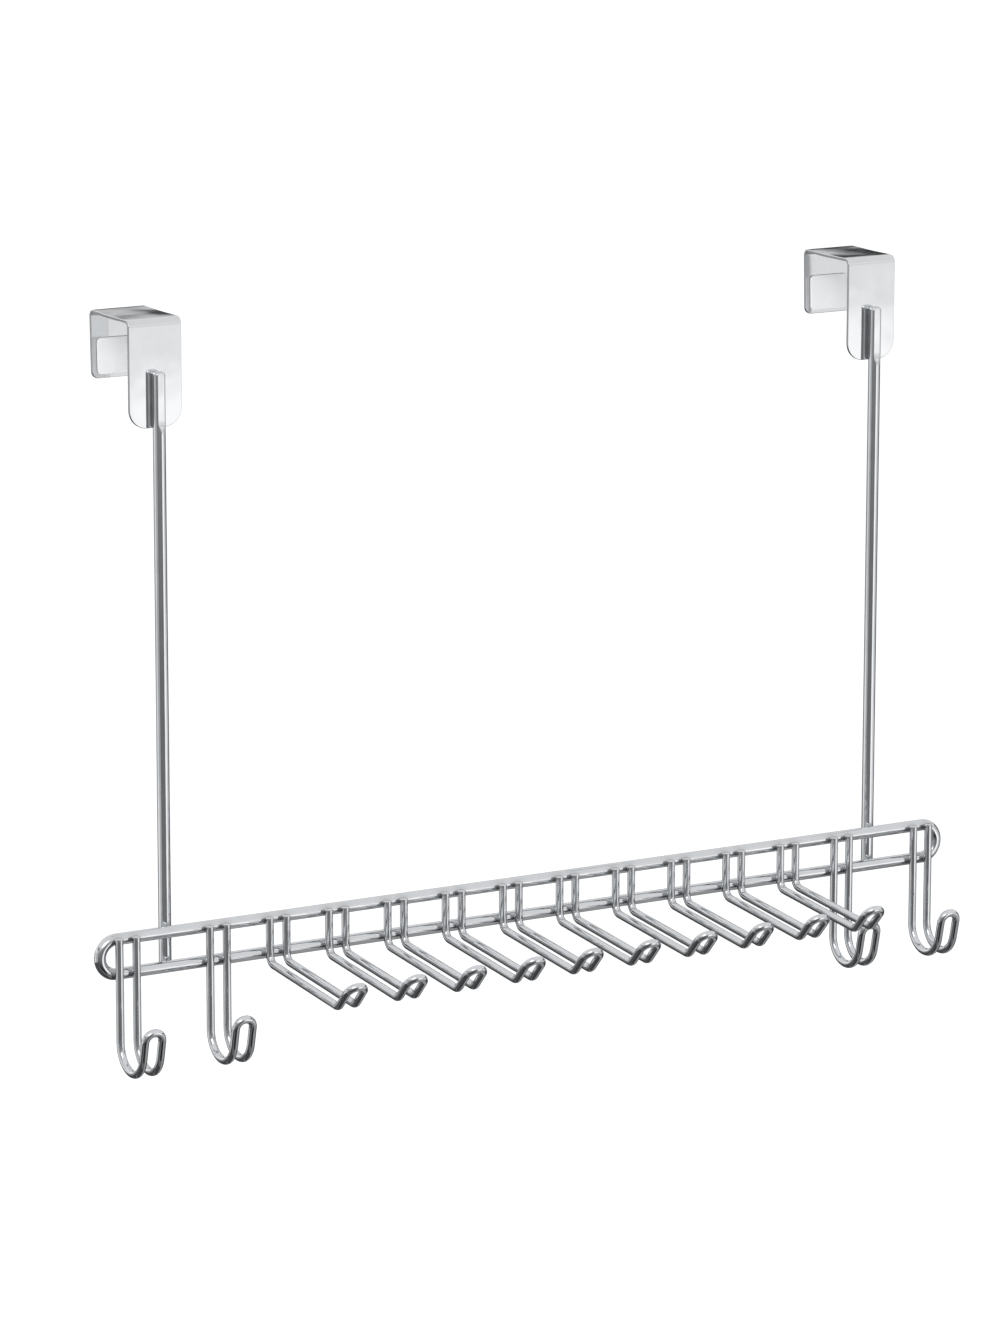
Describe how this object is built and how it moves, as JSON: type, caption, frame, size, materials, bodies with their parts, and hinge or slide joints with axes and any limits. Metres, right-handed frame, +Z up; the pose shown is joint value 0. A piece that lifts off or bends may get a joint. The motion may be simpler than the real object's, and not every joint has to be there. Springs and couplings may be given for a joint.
{
  "type": "over-the-door hook rack",
  "caption": "Chrome wire rack that hangs over a door on flat strip brackets, with deep coat hooks and long forward hanger arms along a looped rail.",
  "frame": {"origin": "the middle of the door's top edge: midway between the two brackets, at the middle of the gap for the door, at the underside of the brackets' top plates", "axes": "+X along the rail to the right as seen from the front, +Y through the door to its back, +Z up; the hooks face -Y"},
  "size_m": [0.47, 0.136, 0.3495],
  "materials": {
    "chrome_wire": "bright chrome plate on drawn steel wire",
    "chrome_strip": "bright chrome plate on flat steel strip",
    "foam_pad": "matt closed-cell foam"
  },
  "bodies": {
    "root": {"rail_loop": "chrome_wire", "hanger_rod_left": "chrome_wire", "hanger_rod_right": "chrome_wire", "door_bracket_left": "chrome_strip", "door_bracket_right": "chrome_strip", "front_pad_left": "foam_pad", "front_pad_right": "foam_pad", "back_pad_left": "foam_pad", "back_pad_right": "foam_pad", "coat_hook_1": "chrome_wire", "coat_hook_2": "chrome_wire", "coat_hook_3": "chrome_wire", "coat_hook_4": "chrome_wire", "hanger_arm_01": "chrome_wire", "hanger_arm_02": "chrome_wire", "hanger_arm_03": "chrome_wire", "hanger_arm_04": "chrome_wire", "hanger_arm_05": "chrome_wire", "hanger_arm_06": "chrome_wire", "hanger_arm_07": "chrome_wire", "hanger_arm_08": "chrome_wire", "hanger_arm_09": "chrome_wire", "hanger_arm_10": "chrome_wire"}
  },
  "joints": []
}
